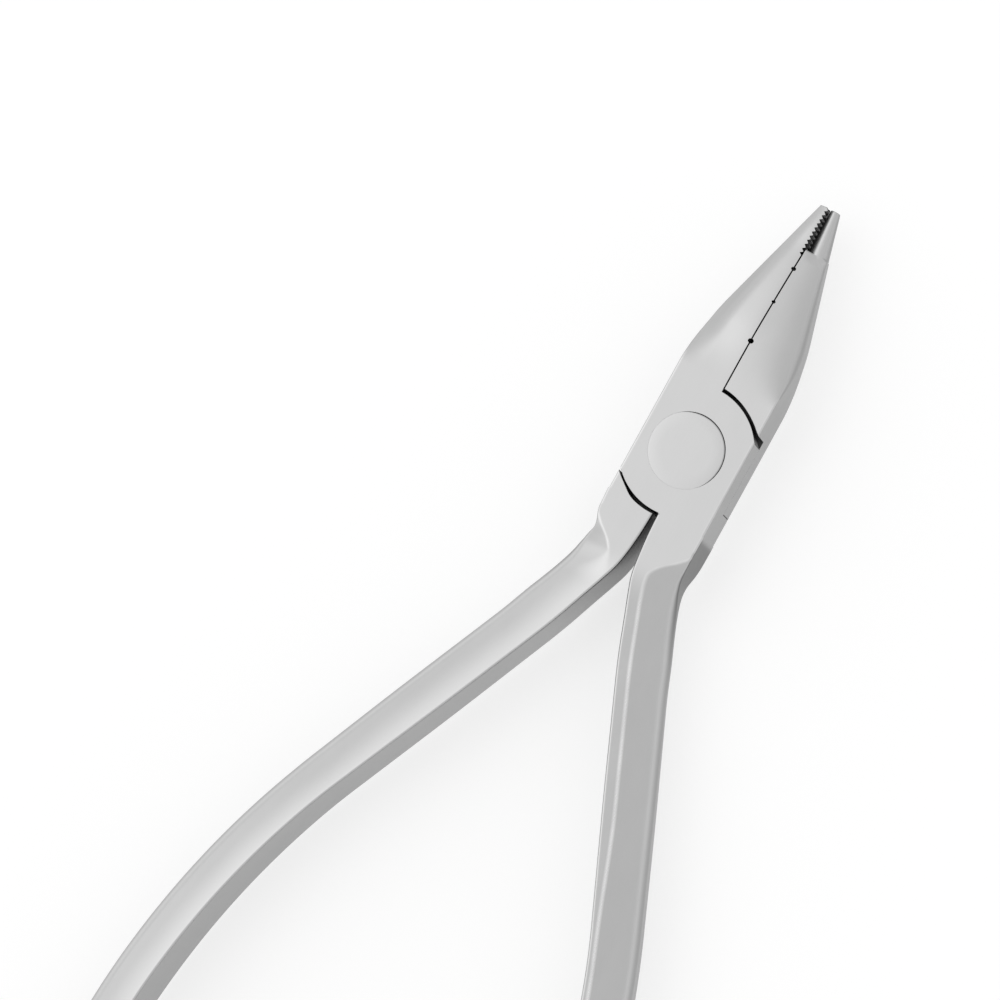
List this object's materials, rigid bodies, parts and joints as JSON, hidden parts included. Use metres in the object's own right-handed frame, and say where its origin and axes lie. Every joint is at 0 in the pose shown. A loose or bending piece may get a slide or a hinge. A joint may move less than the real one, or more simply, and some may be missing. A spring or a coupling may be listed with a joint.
{
  "type": "orthodontic loop-forming pliers",
  "caption": "Slim orthodontic pliers with a lap joint, a grooved round beak with a cone tip, a beak with a serrated tip, and long bowed handles.",
  "frame": {"origin": "on the joint axis, in the plane of the joint's flat rear face", "axes": "+Z is the joint axis, from the rear face to the front face; +Y runs along the tool to the beak tips; +X is to the right when the front is seen with the beaks up"},
  "size_m": [0.0597, 0.1346, 0.0096],
  "materials": {
    "front_half_steel": "satin stainless steel",
    "rear_half_steel": "satin stainless steel",
    "pivot_steel": "satin ground stainless steel"
  },
  "bodies": {
    "rear": {"rear_half": "rear_half_steel", "pivot_screw": "pivot_steel"},
    "front": {"front_half": "front_half_steel"}
  },
  "joints": [
    {"name": "pivot", "type": "hinge", "parent": "rear", "child": "front", "pos_m": [0, 0, 0], "axis": [0, 0, 1], "range_deg": [0, 35]}
  ]
}
